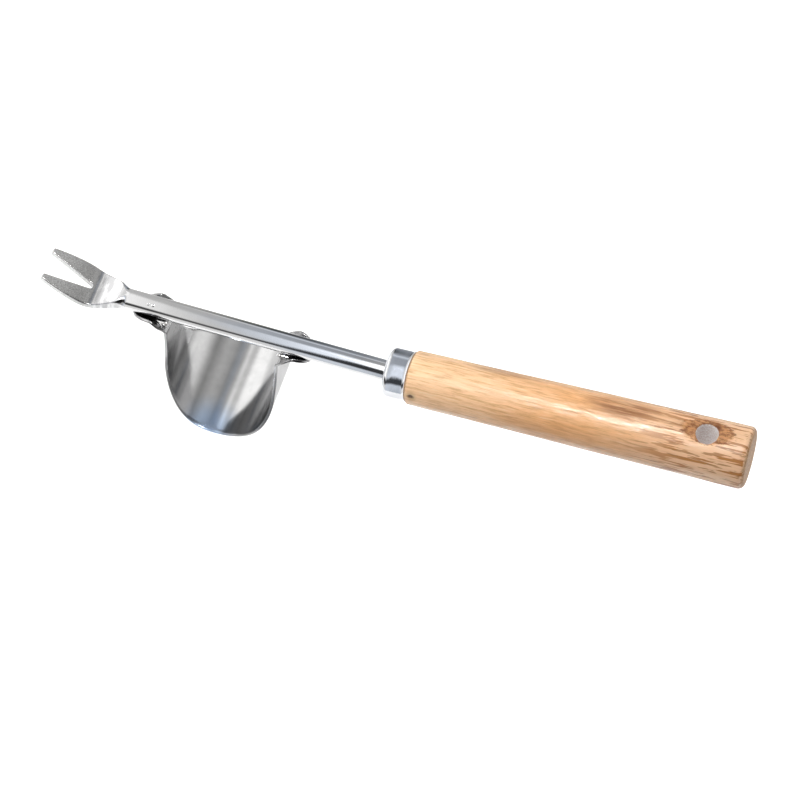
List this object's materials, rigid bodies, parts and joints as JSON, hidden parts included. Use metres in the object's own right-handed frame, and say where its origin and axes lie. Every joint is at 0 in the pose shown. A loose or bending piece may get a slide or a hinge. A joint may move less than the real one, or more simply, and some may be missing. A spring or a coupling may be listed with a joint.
{
  "type": "hand weeder",
  "caption": "Forked hand weeder: forged two-tine steel bar with a bent sheet fulcrum welded under it, a ferrule and a turned wooden handle with a hanging hole.",
  "frame": {"origin": "where the axis of the hanging hole crosses the axis of the handle", "axes": "+X along the handle to its butt, so the fork points to -X; +Z along the hanging hole, so the fulcrum hangs towards -Z; +Y across the tool"},
  "size_m": [0.2721, 0.0426, 0.061],
  "materials": {
    "bright_steel": "polished round bar, fine brushed tines",
    "satin_sheet": "satin rolled stainless sheet",
    "weld_metal": "bright, slightly lumpy weld beads",
    "ferrule_steel": "bright plated, drawn",
    "varnished_wood": "clear gloss varnish over straight coarse grain",
    "pin_steel": "dull, browned by varnish"
  },
  "bodies": {
    "root": {"shank": "bright_steel", "fulcrum": "satin_sheet", "front_weld": "weld_metal", "rear_weld": "weld_metal", "ferrule": "ferrule_steel", "handle": "varnished_wood", "tang_pin": "pin_steel"}
  },
  "joints": []
}
